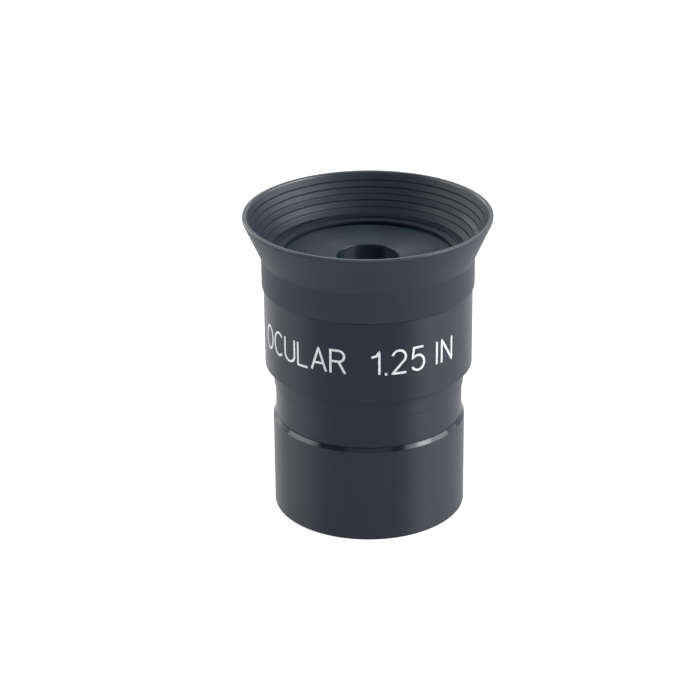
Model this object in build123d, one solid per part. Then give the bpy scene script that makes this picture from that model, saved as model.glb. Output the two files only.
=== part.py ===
from build123d import *
import math
import os

# A telescope eyepiece of 10 mm focal length for 1.25 inch focusers, with a flared rubber eyecup.
# Millimetres. The origin is the centre of the foot of the nosepiece, and +Z runs along the
# optical axis towards the eye. Nearly every piece is turned, so it is given as half a section:
# points of (radius, height), up its outside and down its inside. A third value bows the edge that
# ends there, hollow if positive and rounded if negative.

# Broken edges and chamfers
EDGE_BREAK = 0.10
HOLE_BREAK = 0.12
GROOVE_CHAMFER = 0.20
BORE_CHAMFER = 0.25
CHAMFER = 0.30
RING_CHAMFER = 0.40

# Heights along the optical axis
NOSE_SHOULDER = 16.43
NOSE_CHAMFER_FOOT = 15.84
NECK_TOP = 21.72
BARREL_FOOT = 25.29
BARREL_TOP = 38.95
GRIP_GROOVE_FOOT = 40.28
GRIP_GROOVE_TOP = 41.88
CELL_SEAT = 41.50
HEAD_TOP = 43.50
LENS_SHOULDER = 40.60
FIELD_STOP_EDGE = 23.02
STOP_SHOULDER = 23.85
WEB_FOOT = 31.00
CELL_FOOT = 26.40
EYECUP_FOOT = 38.98
FLARE_FOOT = 44.00
RIM_FOOT = 50.42
RIM_TOP = 50.90
LIP_FOOT = 43.75
LEDGE = 44.80

# Radii of what shows outside
NOSE = 15.85
NECK = 15.37
STEP_RING = 15.59
BARREL = 16.99
EYECUP_BAND = 17.29
EYECUP_RIM = 20.17
RIM_INSIDE = 19.51
LIP = 13.85
EXIT_HOLE = 5.04

# Radii inside, and the clearances that the pieces go together with
EYECUP_SEAT = 15.60
GRIP_GROOVE = 15.15
FLANGE = 14.25
CELL_BODY = 8.50
NECK_BORE = 14.00
STOP_LAND = 12.50
NOSE_SPIGOT = 13.95
SPIGOT_BORE = 12.60
STOP_HUB = 11.50
NOSE_BORE = 13.60
SLIP = 0.05
FACE_GAP = 0.02

# Threads, as closed flights
NOSE_RELIEF = 0.75
NOSE_PITCH = 0.75
NOSE_FLIGHTS = 6
NOSE_THREAD_DEPTH = 0.40
FILTER_MINOR = 13.925
FILTER_MAJOR = 14.25
FILTER_PITCH = 0.60
FILTER_FLIGHTS = 7
FILTER_MOUTH = 14.45
FILTER_FOOT = 0.55
BAFFLE_PITCH = 0.80
BAFFLE_FLIGHTS = 10
BAFFLE_DEPTH = 0.30
BAFFLE_FOOT = 5.60
BAFFLE_LEAD = 0.30
BAFFLE_RUNOUT = 0.60
BORE_TAPER = 1.00
CREST_SHARE = 0.25
ROOT_SHARE = 0.125

# Optics: two equal cemented doublets with their crowns face to face
LENS = 5.75
OUTER_CURVE = 60.0
INNER_CURVE = 9.70
CROWN_THICK = 4.40
FLINT_THICK = 1.20
LENS_GAP = 0.50
CEMENT = 0.01
LENS_SLIP = 0.03
SPACER_WALL = 0.70
CELL_RELIEF = 0.10

# Rings with spanner slots
RETAINER = 6.45
RETAINER_BORE = 5.00
RETAINER_THICK = 1.70
LOCK_RING = 12.30
LOCK_RING_THICK = 2.40
SLOT_WIDTH = 1.20
SLOT_DEPTH = 0.80
FIELD_STOP = 4.66
FIELD_STOP_THICK = 1.15
KNIFE_EDGE = 0.08

# Crests of the ridges inside the eyecup, from the rim down
RIDGES = [(18.65, 49.80), (18.12, 48.78), (17.53, 47.84), (16.91, 46.96), (16.40, 45.93)]
SCALLOP_BOW = 0.17
LEDGE_OUTSIDE = 15.45
RIM_CORNER = 0.15
LIP_CORNER = 0.30
CORNER_BOW = 1 - math.sqrt(0.5)


def turned(points):
    """The solid turned from half a section, whose points are (radius, height) or (radius, height, bow)."""
    edges = []
    for start, end in zip(points[-1:] + points[:-1], points):
        bow = end[2] if len(end) == 3 else 0
        join = SagittaArc(start[:2], end[:2], bow) if bow else Line(start[:2], end[:2])
        edges.append(join.edge())
    return revolve(Plane.XZ * make_face(edges), Axis.Z)


def flights(crest, root, foot, pitch, count):
    """The section of a thread cut as closed flights, from foot upwards, as outline points."""
    points = []
    for turn in range(count):
        start = foot + turn * pitch
        middle = start + pitch * (1 + CREST_SHARE) / 2
        half_root = pitch * ROOT_SHARE / 2
        points.append((crest, start))
        points.append((crest, start + pitch * CREST_SHARE))
        points.append((root, middle - half_root))
        points.append((root, middle + half_root))
    points.append((crest, foot + count * pitch))
    return points


def rise(curve, radius):
    """How far a spherical surface of that curvature radius falls back at a radius from the axis."""
    return curve - math.sqrt(curve**2 - radius**2)


def spanner_slots(radius, face):
    """The cutter for two slots across a ring, opening downwards at the height of its lower face."""
    return Pos(0, 0, face) * Box(3 * radius, SLOT_WIDTH, 2 * SLOT_DEPTH)


def make_nosepiece():
    thread_foot = NOSE_SHOULDER + NOSE_RELIEF
    spigot_top = STOP_SHOULDER - FIELD_STOP_THICK - 3 * FACE_GAP
    root = NOSE_SPIGOT - NOSE_THREAD_DEPTH
    baffle_root = NOSE_BORE + BAFFLE_DEPTH
    baffle_top = BAFFLE_FOOT + BAFFLE_PITCH * BAFFLE_FLIGHTS + BAFFLE_RUNOUT
    outside = [
        (FILTER_MOUTH, 0),
        (NOSE - EDGE_BREAK, 0),
        (NOSE, EDGE_BREAK),
        (NOSE, NOSE_CHAMFER_FOOT),
        (NECK, NOSE_SHOULDER),
        (root, NOSE_SHOULDER),
        *flights(NOSE_SPIGOT, root, thread_foot, NOSE_PITCH, NOSE_FLIGHTS),
        (NOSE_SPIGOT - CHAMFER, spigot_top),
    ]
    inside = [
        *flights(FILTER_MINOR, FILTER_MAJOR, FILTER_FOOT, FILTER_PITCH, FILTER_FLIGHTS),
        (NOSE_BORE, BAFFLE_FOOT - BAFFLE_LEAD),
        *flights(NOSE_BORE, baffle_root, BAFFLE_FOOT, BAFFLE_PITCH, BAFFLE_FLIGHTS),
        (NOSE_BORE, baffle_top),
        (SPIGOT_BORE, baffle_top + BORE_TAPER),
        (SPIGOT_BORE, spigot_top),
    ]
    return turned(outside + inside[::-1])


def make_housing():
    foot = NOSE_SHOULDER + FACE_GAP
    return turned(
        [
            (NECK_BORE + BORE_CHAMFER, foot),
            (NECK - EDGE_BREAK, foot),
            (NECK, foot + EDGE_BREAK),
            (NECK, NECK_TOP),
            (STEP_RING - EDGE_BREAK, NECK_TOP),
            (STEP_RING, NECK_TOP + EDGE_BREAK),
            (STEP_RING, BARREL_FOOT),
            (BARREL - EDGE_BREAK, BARREL_FOOT),
            (BARREL, BARREL_FOOT + EDGE_BREAK),
            (BARREL, BARREL_TOP - EDGE_BREAK),
            (BARREL - EDGE_BREAK, BARREL_TOP),
            (EYECUP_SEAT, BARREL_TOP),
            (EYECUP_SEAT, GRIP_GROOVE_FOOT),
            (GRIP_GROOVE, GRIP_GROOVE_FOOT + GROOVE_CHAMFER),
            (GRIP_GROOVE, GRIP_GROOVE_TOP - GROOVE_CHAMFER),
            (EYECUP_SEAT, GRIP_GROOVE_TOP),
            (EYECUP_SEAT, HEAD_TOP - CHAMFER),
            (EYECUP_SEAT - CHAMFER, HEAD_TOP),
            (FLANGE + SLIP, HEAD_TOP),
            (FLANGE + SLIP, CELL_SEAT),
            (CELL_BODY + SLIP, CELL_SEAT),
            (CELL_BODY + SLIP, WEB_FOOT),
            (STOP_LAND, WEB_FOOT),
            (STOP_LAND, STOP_SHOULDER),
            (NECK_BORE, STOP_SHOULDER),
            (NECK_BORE, foot + BORE_CHAMFER),
        ]
    )


def make_eyecup():
    rim_bow = -RIM_CORNER * CORNER_BOW
    outside = [
        (EYECUP_SEAT + SLIP, EYECUP_FOOT),
        (EYECUP_BAND - RIM_CORNER, EYECUP_FOOT),
        (EYECUP_BAND, EYECUP_FOOT + RIM_CORNER, rim_bow),
        (EYECUP_BAND, FLARE_FOOT),
        (EYECUP_RIM, RIM_FOOT),
        (EYECUP_RIM, RIM_TOP - RIM_CORNER),
        (EYECUP_RIM - RIM_CORNER, RIM_TOP, rim_bow),
        (RIM_INSIDE, RIM_TOP),
        RIDGES[0],
    ]
    scallops = [(radius, height, SCALLOP_BOW) for radius, height in RIDGES[1:]]
    inside = [
        (LEDGE_OUTSIDE, LEDGE, SCALLOP_BOW),
        (LIP + LIP_CORNER, LEDGE),
        (LIP, LEDGE - LIP_CORNER, -LIP_CORNER * CORNER_BOW),
        (LIP, LIP_FOOT),
        (EYECUP_SEAT + SLIP, LIP_FOOT),
    ]
    return turned(outside + scallops + inside)


def make_lens_cell():
    bore = LENS + LENS_SLIP
    thread = RETAINER + SLIP
    thread_top = lens_heights()["foot"] + CELL_RELIEF
    return turned(
        [
            (EXIT_HOLE, LENS_SHOULDER),
            (bore, LENS_SHOULDER),
            (bore, thread_top),
            (thread, thread_top),
            (thread, CELL_FOOT + GROOVE_CHAMFER),
            (thread + GROOVE_CHAMFER, CELL_FOOT),
            (CELL_BODY - CHAMFER, CELL_FOOT),
            (CELL_BODY, CELL_FOOT + CHAMFER),
            (CELL_BODY, CELL_SEAT + FACE_GAP),
            (FLANGE, CELL_SEAT + FACE_GAP),
            (FLANGE, HEAD_TOP - EDGE_BREAK),
            (FLANGE - EDGE_BREAK, HEAD_TOP),
            (EXIT_HOLE + HOLE_BREAK, HEAD_TOP),
            (EXIT_HOLE, HEAD_TOP - HOLE_BREAK),
        ]
    )


def lens_heights():
    """The heights of the lens surfaces on the axis, and where the lowest lens meets its ring."""
    eye_vertex = LENS_SHOULDER - FACE_GAP + rise(OUTER_CURVE, EXIT_HOLE)
    eye_crown = eye_vertex - FLINT_THICK - CEMENT
    gap_top = eye_crown - CROWN_THICK
    field_crown = gap_top - LENS_GAP
    field_cement = field_crown - CROWN_THICK
    field_vertex = field_cement - CEMENT - FLINT_THICK
    foot = field_vertex + rise(OUTER_CURVE, RETAINER_BORE) - FACE_GAP
    return {
        "eye_vertex": eye_vertex,
        "eye_crown": eye_crown,
        "gap_top": gap_top,
        "field_crown": field_crown,
        "field_cement": field_cement,
        "field_vertex": field_vertex,
        "foot": foot,
    }


def lens(top, top_curve, bottom, bottom_curve):
    """A round lens between two surfaces, given by their heights on the axis and their radii.

    A surface of positive radius bulges upwards, and one of negative radius bulges downwards.
    """
    top_edge = top - math.copysign(rise(abs(top_curve), LENS), top_curve)
    bottom_edge = bottom - math.copysign(rise(abs(bottom_curve), LENS), bottom_curve)
    upper = RadiusArc((0, top), (LENS, top_edge), top_curve)
    rim = Line((LENS, top_edge), (LENS, bottom_edge))
    lower = RadiusArc((0, bottom), (LENS, bottom_edge), bottom_curve)
    axis = Line((0, bottom), (0, top))
    section = make_face([piece.edge() for piece in (upper, rim, lower, axis)])
    return revolve(Plane.XZ * section, Axis.Z)


def make_lenses():
    at = lens_heights()
    return {
        "eye_lens_flint": lens(at["eye_vertex"], OUTER_CURVE, at["eye_crown"] + CEMENT, INNER_CURVE),
        "eye_lens_crown": lens(at["eye_crown"], INNER_CURVE, at["gap_top"], -INNER_CURVE),
        "field_lens_crown": lens(at["field_crown"], INNER_CURVE, at["field_cement"], -INNER_CURVE),
        "field_lens_flint": lens(
            at["field_cement"] - CEMENT, -INNER_CURVE, at["field_vertex"], -OUTER_CURVE
        ),
    }


def make_spacer():
    """The sleeve between the two doublets, which bears on the edges of the crowns."""
    at = lens_heights()
    bore = LENS - SPACER_WALL
    top = at["gap_top"] + rise(INNER_CURVE, bore) - FACE_GAP
    foot = at["field_crown"] - rise(INNER_CURVE, bore) + FACE_GAP
    return turned([(bore, foot), (LENS, foot), (LENS, top), (bore, top)])


def make_retaining_ring():
    top = lens_heights()["foot"]
    foot = top - RETAINER_THICK
    ring = turned(
        [
            (RETAINER_BORE + RING_CHAMFER, foot),
            (RETAINER, foot),
            (RETAINER, top),
            (RETAINER_BORE, top),
            (RETAINER_BORE, top - RING_CHAMFER),
        ]
    )
    return ring - spanner_slots(RETAINER, foot)


def make_lock_ring():
    top = WEB_FOOT - FACE_GAP
    foot = top - LOCK_RING_THICK
    bore = CELL_BODY + SLIP
    ring = turned(
        [
            (bore, foot),
            (LOCK_RING - CHAMFER, foot),
            (LOCK_RING, foot + CHAMFER),
            (LOCK_RING, top),
            (bore, top),
        ]
    )
    return ring - spanner_slots(LOCK_RING, foot)


def make_field_stop():
    """A loose ring whose bore narrows to a knife edge in the focal plane."""
    top = STOP_SHOULDER - FACE_GAP
    foot = top - FIELD_STOP_THICK
    outside = NECK_BORE - 2 * SLIP
    return turned(
        [
            (STOP_HUB, foot),
            (outside, foot),
            (outside, top),
            (STOP_HUB, top),
            (FIELD_STOP, FIELD_STOP_EDGE + KNIFE_EDGE / 2),
            (FIELD_STOP, FIELD_STOP_EDGE - KNIFE_EDGE / 2),
        ]
    )


def main():
    pieces = {
        "eyecup": make_eyecup(),
        "housing": make_housing(),
        "lens_cell": make_lens_cell(),
        **make_lenses(),
        "lens_spacer": make_spacer(),
        "retaining_ring": make_retaining_ring(),
        "cell_lock_ring": make_lock_ring(),
        "field_stop": make_field_stop(),
        "nosepiece": make_nosepiece(),
    }
    os.makedirs("parts", exist_ok=True)
    for name, piece in pieces.items():
        export_step(piece, os.path.join("parts", name + ".step"))


main()
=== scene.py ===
import math

import bmesh
import bpy
from mathutils import Matrix, Vector


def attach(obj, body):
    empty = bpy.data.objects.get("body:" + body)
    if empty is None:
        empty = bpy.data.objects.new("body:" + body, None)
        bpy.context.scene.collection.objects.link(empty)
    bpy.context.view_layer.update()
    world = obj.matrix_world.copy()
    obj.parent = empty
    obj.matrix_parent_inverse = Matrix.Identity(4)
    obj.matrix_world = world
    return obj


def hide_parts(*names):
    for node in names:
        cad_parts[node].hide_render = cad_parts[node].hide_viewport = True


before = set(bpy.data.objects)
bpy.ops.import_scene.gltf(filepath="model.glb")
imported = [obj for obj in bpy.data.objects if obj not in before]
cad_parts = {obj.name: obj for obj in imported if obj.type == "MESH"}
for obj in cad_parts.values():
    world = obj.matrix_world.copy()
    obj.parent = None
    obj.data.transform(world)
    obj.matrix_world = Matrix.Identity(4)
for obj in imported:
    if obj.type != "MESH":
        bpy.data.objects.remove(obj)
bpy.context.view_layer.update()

MM = 0.001

# The viewpoint: metres, degrees and millimetres of lens
CAMERA_DISTANCE = 0.38981
CAMERA_ELEVATION = 28.05
CAMERA_PAN = 0.4625
CAMERA_TILT = 3.5895
CAMERA_ROLL = 0.310
CAMERA_LENS = 118.17
SENSOR_WIDTH = 36.0
NEAREST = 0.01
FARTHEST = 20.0

# The soft boxes: name, azimuth and elevation, width and height (all in degrees), radiance.
# Azimuth runs from the camera's side towards the camera's right.
SOFT_BOXES = [
    ("soft_box_right_low", 84, 12, 80, 20, 2.5),
    ("soft_box_right_high", 82, 35, 60, 28, 7.2),
    ("soft_box_right_core", 76, 37, 20, 12, 14.0),
    ("soft_box_left_low", -104, 10, 76, 18, 1.4),
    ("soft_box_left_high", -92, 30, 42, 24, 5.4),
    ("rim_light_left", -142, 24, 22, 22, 6.0),
    ("back_wall", 180, 38, 70, 34, 1.3),
    ("front_fill", 0, 44, 60, 24, 0.7),
    ("ceiling_box", 180, 78, 60, 50, 1.2),
]
SOFT_BOX_DISTANCE = 1.0
SOFT_BOX_AIM = 30 * MM

# The room: a bright low horizon that fades into a darker ceiling, and a floor that glows a little
HORIZON_GLOW = 0.95
CEILING_GLOW = 0.18
HORIZON_TOP = 0.20
CEILING_FOOT = 0.36
FLOOR_SIZE = 6.0
FLOOR_GAP = 0.02 * MM
FLOOR_GLOW = 0.74
FLOOR_GREY = (0.35, 0.35, 0.35, 1)
FLOOR_ROUGHNESS = 0.9
WHITE = (1, 1, 1, 1)

# Each finish's two colours, darker first: it clouds from one to the other
HOUSING_BLACK = ((0.0012, 0.0038, 0.0118, 1), (0.0024, 0.0056, 0.0145, 1))
NOSEPIECE_BLACK = ((0.0034, 0.0068, 0.0130, 1), (0.0050, 0.0088, 0.0160, 1))
CELL_BLACK = ((0.0030, 0.0075, 0.0150, 1), (0.0090, 0.0160, 0.0250, 1))
RING_BLACK = ((0.0050, 0.0055, 0.0070, 1), (0.0080, 0.0090, 0.0110, 1))
RUBBER_BLACK = ((0.0026, 0.0068, 0.0155, 1), (0.0052, 0.0100, 0.0188, 1))
PAINT_WHITE = ((0.46, 0.47, 0.49, 1), (0.62, 0.63, 0.65, 1))
CROWN_TINT = ((0.90, 0.97, 0.93, 1), (0.95, 0.985, 0.965, 1))
FLINT_TINT = ((0.92, 0.95, 0.97, 1), (0.96, 0.975, 0.985, 1))

# Turned metal. Scales are marks to a metre.
METAL_INDEX = 1.41
CLOUD_SCALE = 130.0
TOOL_MARK_SCALE = 2600.0
TOOL_MARK_DETAIL = 4.0
TOOL_MARK_ROUGHNESS = 0.08
TOOL_MARK_BUMP = 0.10
TOOL_MARK_DEPTH = 0.02 * MM
ACROSS_THE_MARKS = 0.25
# Lighter spots along edges: partly rubbed wear, partly a painted highlight on the edges
EDGE_SPOT_SCALE = 900.0
EDGE_SPOT_THRESHOLD = 0.70
SCUFF_AND_EDGE_HIGHLIGHT_COLOUR = (0.10, 0.105, 0.115, 1)
EDGE_HALF_WIDTH = 0.05
POLISH = 0.50
SWIRL_SCALE = 1500.0
SWIRL_STRENGTH = (0.25, 0.75)
SWIRL_NOISE = (0.35, 0.70)
SWIRL_PATCH_SCALE = 160.0
SWIRL_PATCH_FAINTEST = 0.3
SWIRL_PATCH_NOISE = (0.35, 0.65)
SWIRL_COLOUR = (0.016, 0.036, 0.056, 1)

# Moulded rubber
RUBBER_INDEX = 1.40
RUBBER_SMOOTH = 0.48
RUBBER_ROUGH = 0.56
RUBBER_CLOUD_SCALE = 95.0
GRAIN_SCALE = 3800.0
GRAIN_DETAIL = 2.0
MOULD_RING_SCALE = 1500.0
GRAIN_BUMP = 0.16
GRAIN_DEPTH = 0.03 * MM
DUST_SCALE = 260.0
DUST_THRESHOLD = 0.93
DUST_SIZE = 0.035
DUST_COLOUR = (0.20, 0.21, 0.22, 1)
# A band just under the rim top: smoother from handling, and lighter in colour as a painted highlight
RIM_BAND_FOOT = 0.34
RIM_BAND_TOP = 0.16
HANDLED_GLOSS = 0.45
RIM_HIGHLIGHT_COLOUR = (0.030, 0.036, 0.044, 1)

# Glass and paint
CROWN_INDEX = 1.52
FLINT_INDEX = 1.67
WIPE_SCALE = 240.0
WIPE_ROUGHNESS = 0.03
WIPE_NOISE = (0.45, 0.80)
PAINT_SCALE = 1800.0
PAINT_NOISE = (0.35, 0.65)
PAINT_SMOOTH = 0.50
PAINT_ROUGH = 0.65

# The eyecup's outline in millimetres, kept inside the CAD piece's box
CUP_TURNS = 192
CUP_SIDE = 0.45
CORNER_POINTS = 5
CORNER_SHARE = 0.45
CUP_BORE = 15.65
CUP_FOOT = 38.98
CUP_BAND = 17.29
FLARE_FOOT = 44.00
CUP_RIM = 20.16
RIM_FOOT = 50.42
RIM_TOP = 50.89
RIM_INSIDE = 19.50
STEPS = [(18.85, 49.69), (18.35, 48.66), (17.90, 47.65), (17.25, 46.78), (16.70, 45.75)]
STEP_DEPTH = 0.12
STEP_SKEW = 0.34
STEP_POINTS = 8
LEDGE_OUTSIDE = 15.90
LEDGE_INSIDE = 14.70
LEDGE = 44.75
SHELF = 44.45
LIP = 13.86
LIP_TOP = 44.20
LIP_FOOT = 43.75
STEP_ROUND = 0.03
EDGE_ROUND = 0.20
RIM_ROUND = 0.26

# The rim isn't quite round: how far it pulls in, and its waves as size, count and phase
RIM_WAVE = 0.02
RIM_WAVES = [(0.3, 3, 0.7), (0.2, 5, 0.0)]

# The marking on the barrel, in millimetres
BARREL = 16.99
MARK_FOOT = 30.2
MARK_HEIGHT = 3.9
MARK_STROKE = 0.38
MARK_LIFT = 0.016
MARK_LIFT_STEP = 0.3
MARK_DEPTH = 0.05
MARK_SIDE = 0.30
MITRE_LIMIT = 1.35
MITRE_FLOOR = 0.1
TOUCHING = 1e-6


def feed(tree, socket, value):
    """Links a socket to this input, or sets the input to a plain value."""
    if isinstance(value, bpy.types.NodeSocket):
        tree.links.new(value, socket)
    else:
        socket.default_value = value


def add(tree, kind, inputs=None, **properties):
    """A new shader node with these properties and inputs."""
    made = tree.nodes.new("ShaderNode" + kind)
    for name, value in properties.items():
        setattr(made, name, value)
    for name, value in (inputs or {}).items():
        feed(tree, made.inputs[name], value)
    return made


def calc(tree, operation, *values):
    """The result of one math node."""
    made = add(tree, "Math", operation=operation)
    for socket, value in zip(made.inputs, values):
        feed(tree, socket, value)
    return made.outputs[0]


def spread(tree, value, low, high, start=0.0, end=1.0):
    """Maps a value that runs from start to end onto the range from low to high."""
    sizes = {"From Min": start, "From Max": end, "To Min": low, "To Max": high}
    return add(tree, "MapRange", {"Value": value, **sizes}).outputs[0]


def tinted(tree, share, first, second):
    """A colour that runs from first to second as share runs from 0 to 1."""
    made = add(tree, "Mix", data_type="RGBA")
    factor, start, end = made.inputs[0], made.inputs[6], made.inputs[7]
    for socket, value in ((factor, share), (start, first), (end, second)):
        feed(tree, socket, value)
    return made.outputs[2]


def noise(tree, vector, scale, detail=3.0):
    """Noise around 0.5 that follows a vector."""
    return add(tree, "TexNoise", {"Vector": vector, "Scale": scale, "Detail": detail}).outputs[0]


def clouds(tree, vector, scale, middle=(0.3, 0.7)):
    """Soft patches that run from 0 to 1: the middle of the noise, with its ends cut off."""
    return spread(tree, noise(tree, vector, scale), 0, 1, *middle)


def object_point(tree):
    """The place on the object."""
    return add(tree, "TexCoord").outputs["Object"]


def ring_point(tree, where):
    """A vector that is the same all round a ring (its radius and height), and the height."""
    height = add(tree, "SeparateXYZ", {"Vector": where}).outputs["Z"]
    flat = add(tree, "VectorMath", {0: where, 1: (1, 1, 0)}, operation="MULTIPLY").outputs[0]
    radius = add(tree, "VectorMath", {0: flat}, operation="LENGTH").outputs["Value"]
    rings = add(tree, "CombineXYZ", {"X": radius, "Y": height}).outputs[0]
    return rings, height


def between(tree, value, low, high):
    """1 where the value lies between low and high, and 0 elsewhere."""
    above = calc(tree, "GREATER_THAN", value, low)
    below = calc(tree, "LESS_THAN", value, high)
    return calc(tree, "MULTIPLY", above, below)


def new_material(name, colour, roughness, index=1.5):
    """A node material, its node tree and its main shader."""
    material = bpy.data.materials.new(name)
    material.use_nodes = True
    tree = material.node_tree
    shader = tree.nodes["Principled BSDF"]
    feed(tree, shader.inputs["Base Color"], colour)
    feed(tree, shader.inputs["Roughness"], roughness)
    feed(tree, shader.inputs["IOR"], index)
    return material, tree, shader


def add_bump(tree, shader, height, strength, depth):
    """Fine relief on the surface."""
    bump = add(tree, "Bump", {"Height": height, "Strength": strength, "Distance": depth}).outputs[0]
    feed(tree, shader.inputs["Normal"], bump)


def edge_wear_and_highlight(tree, where, height, edges):
    """1 on scattered spots along edges at these heights, in millimetres: partly rubbed wear, partly a
    painted highlight on the edges.
    """
    spots = calc(tree, "GREATER_THAN", noise(tree, where, EDGE_SPOT_SCALE), EDGE_SPOT_THRESHOLD)
    lines = 0.0
    for edge in edges:
        line = between(tree, height, (edge - EDGE_HALF_WIDTH) * MM, (edge + EDGE_HALF_WIDTH) * MM)
        lines = calc(tree, "ADD", line, lines)
    return calc(tree, "MULTIPLY", lines, spots)


def swirl_marks(tree, where, rings, height, foot):
    """Patchy cleaning marks that run round a face above this height, in millimetres."""
    strength = spread(tree, noise(tree, rings, SWIRL_SCALE), *SWIRL_STRENGTH, *SWIRL_NOISE)
    patches = noise(tree, where, SWIRL_PATCH_SCALE)
    patches = spread(tree, patches, SWIRL_PATCH_FAINTEST, 1, *SWIRL_PATCH_NOISE)
    strength = calc(tree, "MULTIPLY", strength, patches)
    return calc(tree, "MULTIPLY", strength, calc(tree, "GREATER_THAN", height, foot * MM))


def turned_metal(name, colours, roughness, spin, polished=None, worn_and_lit_edges=(), face=None):
    """Black anodised metal off a lathe, with ring-shaped tool marks.

    Heights are in millimetres: polished is the range of a smoother band, the edge list gives edges with
    lighter spots that are partly rubbed wear and partly a painted highlight, and face is where a face with
    swirl marks begins. spin is how far the marks stretch the highlights.
    """
    material, tree, shader = new_material(name, colours[0], roughness, METAL_INDEX)
    where = object_point(tree)
    rings, height = ring_point(tree, where)
    marks = noise(tree, rings, TOOL_MARK_SCALE, TOOL_MARK_DETAIL)
    colour = tinted(tree, clouds(tree, where, CLOUD_SCALE), *colours)
    varied = calc(tree, "MULTIPLY", marks, TOOL_MARK_ROUGHNESS)
    rough = calc(tree, "ADD", roughness - TOOL_MARK_ROUGHNESS / 2, varied)
    # Lighter spots on the listed edges: partly rubbed wear, partly a painted highlight
    if worn_and_lit_edges:
        colour = tinted(tree, edge_wear_and_highlight(tree, where, height, worn_and_lit_edges), colour, SCUFF_AND_EDGE_HIGHLIGHT_COLOUR)
    if face:
        colour = tinted(tree, swirl_marks(tree, where, rings, height, face), colour, SWIRL_COLOUR)
    if polished:
        band = between(tree, height, polished[0] * MM, polished[1] * MM)
        rough = calc(tree, "MULTIPLY", rough, spread(tree, band, 1.0, POLISH))
    feed(tree, shader.inputs["Base Color"], colour)
    feed(tree, shader.inputs["Roughness"], rough)
    shader.inputs["Anisotropic"].default_value = spin
    shader.inputs["Anisotropic Rotation"].default_value = ACROSS_THE_MARKS
    tangent = add(tree, "Tangent", direction_type="RADIAL", axis="Z").outputs[0]
    feed(tree, shader.inputs["Tangent"], tangent)
    add_bump(tree, shader, marks, TOOL_MARK_BUMP, TOOL_MARK_DEPTH)
    return material


def dust(tree, where):
    """1 on a few small specks."""
    cells = add(tree, "TexVoronoi", {"Vector": where, "Scale": DUST_SCALE})
    chance = add(tree, "SeparateXYZ", {0: cells.outputs["Color"]}).outputs[0]
    chosen = calc(tree, "GREATER_THAN", chance, DUST_THRESHOLD)
    small = calc(tree, "LESS_THAN", cells.outputs["Distance"], DUST_SIZE)
    return calc(tree, "MULTIPLY", chosen, small)


def soft_rubber():
    """Moulded black rubber: a fine grain, faint clouding, specks of dust, a rim shiny from handling, and a
    painted highlight along the rim.
    """
    material, tree, shader = new_material("soft_black_rubber", RUBBER_BLACK[0], RUBBER_ROUGH, RUBBER_INDEX)
    where = object_point(tree)
    rings, height = ring_point(tree, where)
    cloud = clouds(tree, where, RUBBER_CLOUD_SCALE)
    colour = tinted(tree, cloud, *RUBBER_BLACK)
    colour = tinted(tree, dust(tree, where), colour, DUST_COLOUR)
    # Below the rim top the colour turns lighter as a painted highlight, and the roughness drops from
    # handling
    rim_handled_and_highlit = spread(tree, height, 0, 1, (RIM_TOP - RIM_BAND_FOOT) * MM, (RIM_TOP - RIM_BAND_TOP) * MM)
    colour = tinted(tree, rim_handled_and_highlit, colour, RIM_HIGHLIGHT_COLOUR)
    rough = spread(tree, cloud, RUBBER_SMOOTH, RUBBER_ROUGH)
    rough = calc(tree, "MULTIPLY", rough, spread(tree, rim_handled_and_highlit, 1.0, HANDLED_GLOSS))
    feed(tree, shader.inputs["Base Color"], colour)
    feed(tree, shader.inputs["Roughness"], rough)
    grain = noise(tree, where, GRAIN_SCALE, GRAIN_DETAIL)
    grain = calc(tree, "ADD", grain, noise(tree, rings, MOULD_RING_SCALE))
    add_bump(tree, shader, grain, GRAIN_BUMP, GRAIN_DEPTH)
    return material


def coated_glass(name, index, tints):
    """Clear optical glass with a faint coating colour and a trace of wiping marks."""
    material, tree, shader = new_material(name, tints[0], 0.0, index)
    wipes = noise(tree, object_point(tree), WIPE_SCALE)
    feed(tree, shader.inputs["Base Color"], tinted(tree, wipes, *tints))
    feed(tree, shader.inputs["Roughness"], spread(tree, wipes, 0.0, WIPE_ROUGHNESS, *WIPE_NOISE))
    shader.inputs["Transmission Weight"].default_value = 1.0
    return material


def marking_paint():
    """White filling of the engraved marking, a little uneven."""
    material, tree, shader = new_material("marking_paint", PAINT_WHITE[1], PAINT_SMOOTH)
    cover = clouds(tree, object_point(tree), PAINT_SCALE, PAINT_NOISE)
    feed(tree, shader.inputs["Base Color"], tinted(tree, cover, *PAINT_WHITE))
    feed(tree, shader.inputs["Roughness"], spread(tree, cover, PAINT_ROUGH, PAINT_SMOOTH))
    return material


def set_camera():
    """A long lens that looks at the object from the front and above."""
    rise = math.radians(CAMERA_ELEVATION)
    place = Vector((0, -math.cos(rise), math.sin(rise))) * CAMERA_DISTANCE
    forward = -place.normalized()
    right = forward.cross(Vector((0, 0, 1))).normalized()
    up = right.cross(forward)
    for kind, angle in (("pan", CAMERA_PAN), ("tilt", CAMERA_TILT), ("roll", CAMERA_ROLL)):
        axis = {"pan": up, "tilt": right, "roll": forward}[kind]
        turn = Matrix.Rotation(math.radians(angle), 3, axis)
        forward, right, up = turn @ forward, turn @ right, turn @ up
    data = bpy.data.cameras.new("camera")
    data.lens = CAMERA_LENS
    data.sensor_width = SENSOR_WIDTH
    data.clip_start = NEAREST
    data.clip_end = FARTHEST
    camera = bpy.data.objects.new("camera", data)
    bpy.context.scene.collection.objects.link(camera)
    rotation = Matrix((right, up, -forward)).transposed().to_4x4()
    camera.matrix_world = Matrix.Translation(place) @ rotation
    bpy.context.scene.camera = camera


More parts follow.
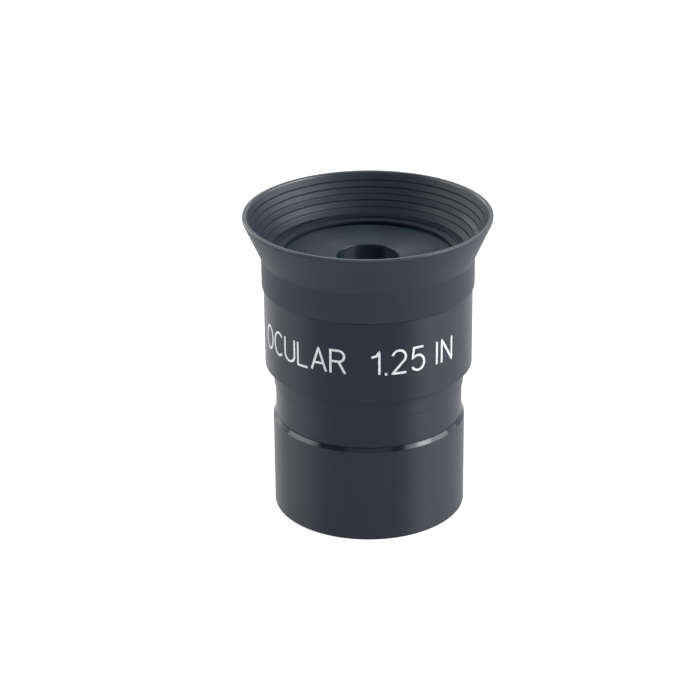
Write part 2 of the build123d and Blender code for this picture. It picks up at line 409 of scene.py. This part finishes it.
def soft_box(name, azimuth, elevation, wide, high, radiance):
    """A rectangular light that faces the object."""
    turn = math.radians(azimuth)
    rise = math.radians(elevation)
    way = Vector((math.sin(turn) * math.cos(rise), -math.cos(turn) * math.cos(rise), math.sin(rise)))
    data = bpy.data.lights.new(name, "AREA")
    data.shape = "RECTANGLE"
    data.size = 2 * SOFT_BOX_DISTANCE * math.tan(math.radians(wide / 2)) * math.cos(rise)
    data.size_y = 2 * SOFT_BOX_DISTANCE * math.tan(math.radians(high / 2))
    data.energy = math.pi * data.size * data.size_y * radiance
    light = bpy.data.objects.new(name, data)
    light.location = way * SOFT_BOX_DISTANCE + Vector((0, 0, SOFT_BOX_AIM))
    light.rotation_euler = way.to_track_quat("Z", "Y").to_euler()
    bpy.context.scene.collection.objects.link(light)


def set_world():
    """The room's own light, brightest near the horizon."""
    world = bpy.data.worlds.new("studio")
    bpy.context.scene.world = world
    world.use_nodes = True
    tree = world.node_tree
    rise = add(tree, "SeparateXYZ", {0: add(tree, "TexCoord").outputs["Generated"]}).outputs["Z"]
    glow = spread(tree, rise, HORIZON_GLOW, CEILING_GLOW, HORIZON_TOP, CEILING_FOOT)
    back = tree.nodes["Background"]
    feed(tree, back.inputs["Color"], WHITE)
    feed(tree, back.inputs["Strength"], glow)


def lay_floor():
    """The pale paper under the object."""
    bpy.ops.mesh.primitive_plane_add(size=FLOOR_SIZE, location=(0, 0, -FLOOR_GAP))
    floor = bpy.context.object
    floor.name = "floor"
    paper, tree, shader = new_material("floor_paper", FLOOR_GREY, FLOOR_ROUGHNESS)
    feed(tree, shader.inputs["Emission Color"], WHITE)
    feed(tree, shader.inputs["Emission Strength"], FLOOR_GLOW)
    floor.data.materials.append(paper)


def set_room():
    """The world's light, the soft boxes and the floor."""
    bpy.context.scene.view_settings.view_transform = "Standard"
    set_world()
    for settings in SOFT_BOXES:
        soft_box(*settings)
    lay_floor()


def finished(name, mesh, material):
    """An object with smooth faces from a bmesh."""
    bmesh.ops.recalc_face_normals(mesh, faces=mesh.faces)
    data = bpy.data.meshes.new(name)
    mesh.to_mesh(data)
    mesh.free()
    data.shade_smooth()
    data.materials.append(material)
    made = bpy.data.objects.new(name, data)
    bpy.context.scene.collection.objects.link(made)
    return made


def around(radius, angle, height):
    """A point in metres from a radius and height in millimetres and an angle from the front."""
    return Vector((radius * math.sin(angle), -radius * math.cos(angle), height)) * MM


def bridge(mesh, here, there):
    """Faces between two closed loops that have the same number of corners."""
    for i in range(len(here)):
        j = (i + 1) % len(here)
        mesh.faces.new((here[i], there[i], there[j], here[j]))


def divided(outline, longest):
    """The same closed outline with its long sides cut into short ones."""
    points = []
    for i, here in enumerate(outline):
        after = outline[(i + 1) % len(outline)]
        count = max(1, math.ceil((after - here).length / longest))
        points += [here.lerp(after, step / count) for step in range(count)]
    return points


def rounded(corners):
    """A closed outline with each (radius, height, rounding) corner turned into a small arc."""
    outline = []
    for i, (x, z, rounding) in enumerate(corners):
        here = Vector((x, z))
        before = Vector(corners[i - 1][:2]) - here
        after = Vector(corners[(i + 1) % len(corners)][:2]) - here
        if rounding == 0:
            outline.append(here)
            continue
        wanted = rounding / math.tan(before.angle(after) / 2)
        reach = min(wanted, CORNER_SHARE * before.length, CORNER_SHARE * after.length)
        start = here + before.normalized() * reach
        end = here + after.normalized() * reach
        for step in range(CORNER_POINTS + 1):
            t = step / CORNER_POINTS
            outline.append(start * (1 - t) ** 2 + here * 2 * t * (1 - t) + end * t ** 2)
    return outline


def tread(start, end):
    """Points down one step inside the cup, without its ends: a short riser, then a long tread.

    4x(1 - x) is a parabola that is 1 in its middle, and the skew moves that middle towards the start.
    """
    start, end = Vector(start), Vector(end)
    along = end - start
    outward = Vector((-along.y, along.x)).normalized()
    points = []
    for step in range(1, STEP_POINTS):
        t = step / STEP_POINTS
        skewed = t ** STEP_SKEW
        depth = STEP_DEPTH * 4 * skewed * (1 - skewed)
        middle = start + along * t + outward * depth
        points.append((middle.x, middle.y, 0))
    return points


def cup_outline():
    """The half section of the eyecup: up the outside, over the rim and down the stepped inside."""
    corners = [
        (CUP_BORE, CUP_FOOT, EDGE_ROUND),
        (CUP_BAND, CUP_FOOT, EDGE_ROUND),
        (CUP_BAND, FLARE_FOOT, EDGE_ROUND),
        (CUP_RIM, RIM_FOOT, STEP_ROUND),
        (CUP_RIM, RIM_TOP, RIM_ROUND),
        (RIM_INSIDE, RIM_TOP, RIM_ROUND),
    ]
    edges = STEPS + [(LEDGE_OUTSIDE, LEDGE)]
    for edge, below in zip(edges, edges[1:]):
        corners.append((*edge, STEP_ROUND))
        corners += tread(edge, below)
    corners += [
        (LEDGE_OUTSIDE, LEDGE, STEP_ROUND),
        (LEDGE_INSIDE, LEDGE, STEP_ROUND),
        (LEDGE_INSIDE, SHELF, STEP_ROUND),
        (LIP, LIP_TOP, STEP_ROUND),
        (LIP, LIP_FOOT, STEP_ROUND),
        (CUP_BORE, LIP_FOOT, STEP_ROUND),
    ]
    return divided(rounded(corners), CUP_SIDE)


def make_eyecup(material):
    """The rubber eyecup, turned round its axis, with a rim that waves a little."""
    outline = cup_outline()
    mesh = bmesh.new()
    loops = []
    for turn in range(CUP_TURNS):
        angle = 2 * math.pi * turn / CUP_TURNS
        wave = 0.5 + sum(size * math.cos(count * angle + phase) for size, count, phase in RIM_WAVES)
        loop = []
        for point in outline:
            softness = max(0.0, (point.y - FLARE_FOOT) / (RIM_TOP - FLARE_FOOT))
            shift = RIM_WAVE * wave * softness
            loop.append(mesh.verts.new(around(point.x - shift, angle, point.y - shift / 2)))
        loops.append(loop)
    for here, there in zip(loops, loops[1:] + loops[:1]):
        bridge(mesh, here, there)
    cup = finished("eyecup_soft", mesh, material)
    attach(cup, "eyecup")
    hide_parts("eyecup")


def arc(x, z, wide, high, start, end, steps=14):
    """Points of an ellipse's arc, from the start angle to the end angle in degrees."""
    points = []
    for step in range(steps + 1):
        angle = math.radians(start + (end - start) * step / steps)
        points.append((x + wide * math.cos(angle), z + high * math.sin(angle)))
    return points


# Each character: its width, then its strokes as points on a grid one high. The first point of a closed
# stroke is repeated at its end.
LETTERS = {
    "O": (0.62, [arc(0.31, 0.5, 0.31, 0.5, 90, 450, 36)]),
    "C": (0.58, [arc(0.33, 0.5, 0.33, 0.5, 46, 314, 30)]),
    "U": (0.58, [[(0, 1)] + arc(0.29, 0.29, 0.29, 0.29, 180, 360) + [(0.58, 1)]]),
    "L": (0.50, [[(0, 1), (0, 0), (0.50, 0)]]),
    "A": (0.66, [[(0, 0), (0.33, 1), (0.66, 0)], [(0.12, 0.34), (0.54, 0.34)]]),
    "R": (0.62, [[(0, 0), (0, 1), (0.33, 1)] + arc(0.34, 0.76, 0.24, 0.24, 90, -90) + [(0, 0.52)],
                 [(0.34, 0.52), (0.62, 0)]]),
    "I": (0.0, [[(0, 1), (0, 0)]]),
    "N": (0.60, [[(0, 0), (0, 1), (0.60, 0), (0.60, 1)]]),
    "1": (0.32, [[(0, 0.76), (0.20, 0.82), (0.32, 1), (0.32, 0)]]),
    "2": (0.56, [arc(0.28, 0.71, 0.28, 0.29, 165, -25, 18) + [(0, 0), (0.58, 0)]]),
    "5": (0.56, [[(0.52, 1), (0.09, 1), (0.03, 0.55)] + arc(0.27, 0.33, 0.29, 0.33, 128, -150, 22)]),
    ".": (0.0, [[(0, 0.06), (0, -0.05)]]),
    " ": (0.10, []),
}
# Each text: the azimuth in degrees where it starts, the gap between characters, its characters
TEXTS = [(-72.5, 0.20, "OCULAR"), (1.5, 0.27, "1.25 IN")]


def stroke_row(mesh, before, here, after, lift):
    """The four corners of a stroke where it passes a point, mitred between its two neighbours."""
    first, second = (here - before).normalized(), (after - here).normalized()
    side = Vector((-(first + second).y, (first + second).x)).normalized()
    turned = abs(side.dot(Vector((-first.y, first.x))))
    edge = side * min(1 / max(MITRE_FLOOR, turned), MITRE_LIMIT) * MARK_STROKE / 2
    outside, inside = BARREL + lift, BARREL - MARK_DEPTH
    corners = ((here + edge, outside), (here - edge, outside), (here - edge, inside), (here + edge, inside))
    return [mesh.verts.new(around(radius, point.x / BARREL, point.y)) for point, radius in corners]


def ribbon(mesh, line, lift):
    """A flat raised stroke along a line on the barrel, as a closed solid."""
    closed = (line[0] - line[-1]).length < TOUCHING
    if closed:
        line = line[:-1]
        line = line[-1:] + line + line[:1]
    else:
        line = [line[0] * 2 - line[1]] + line + [line[-1] * 2 - line[-2]]
    rows = [stroke_row(mesh, *three, lift) for three in zip(line, line[1:], line[2:])]
    for here, there in zip(rows, rows[1:] + rows[:1] if closed else rows[1:]):
        bridge(mesh, here, there)
    if not closed:
        mesh.faces.new(rows[0])
        mesh.faces.new(reversed(rows[-1]))


def make_marking(material):
    """The white characters round the front of the barrel."""
    mesh = bmesh.new()
    for azimuth, gap, text in TEXTS:
        start = math.radians(azimuth) * BARREL
        for character in text:
            width, strokes = LETTERS[character]
            for number, stroke in enumerate(strokes):
                line = [Vector((start + x * MARK_HEIGHT, MARK_FOOT + z * MARK_HEIGHT)) for x, z in stroke]
                fine = []
                for here, there in zip(line, line[1:]):
                    count = max(1, math.ceil((there - here).length / MARK_SIDE))
                    fine += [here.lerp(there, step / count) for step in range(count)]
                # A crossing stroke lies a little lower, so that no two faces share a surface
                ribbon(mesh, fine + [line[-1]], MARK_LIFT * (1 - MARK_LIFT_STEP * number))
            start += (width + gap) * MARK_HEIGHT
    marking = finished("barrel_marking", mesh, material)
    marking.data.shade_flat()
    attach(marking, "housing")


def dress(material, *names):
    """Gives CAD nodes this finish."""
    for name in names:
        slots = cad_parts[name].data.materials
        slots.clear()
        slots.append(material)


set_camera()
set_room()
# The listed edges get lighter spots: partly rubbed wear, partly a painted highlight on the edges
dress(turned_metal("housing_metal", HOUSING_BLACK, 0.40, 0.92, worn_and_lit_edges=(21.72, 25.32, 38.90)), "housing")
dress(turned_metal("nosepiece_metal", NOSEPIECE_BLACK, 0.42, 0.92, polished=(15.86, 16.42), worn_and_lit_edges=(0.2,)),
      "nosepiece")
dress(turned_metal("cell_metal", CELL_BLACK, 0.40, 0.85, face=40.0), "lens_cell")
dress(turned_metal("ring_metal", RING_BLACK, 0.55, 0.5),
      "field_stop", "retaining_ring", "cell_lock_ring", "lens_spacer")
dress(coated_glass("crown_glass", CROWN_INDEX, CROWN_TINT), "eye_lens_crown", "field_lens_crown")
dress(coated_glass("flint_glass", FLINT_INDEX, FLINT_TINT), "eye_lens_flint", "field_lens_flint")
make_eyecup(soft_rubber())
make_marking(marking_paint())
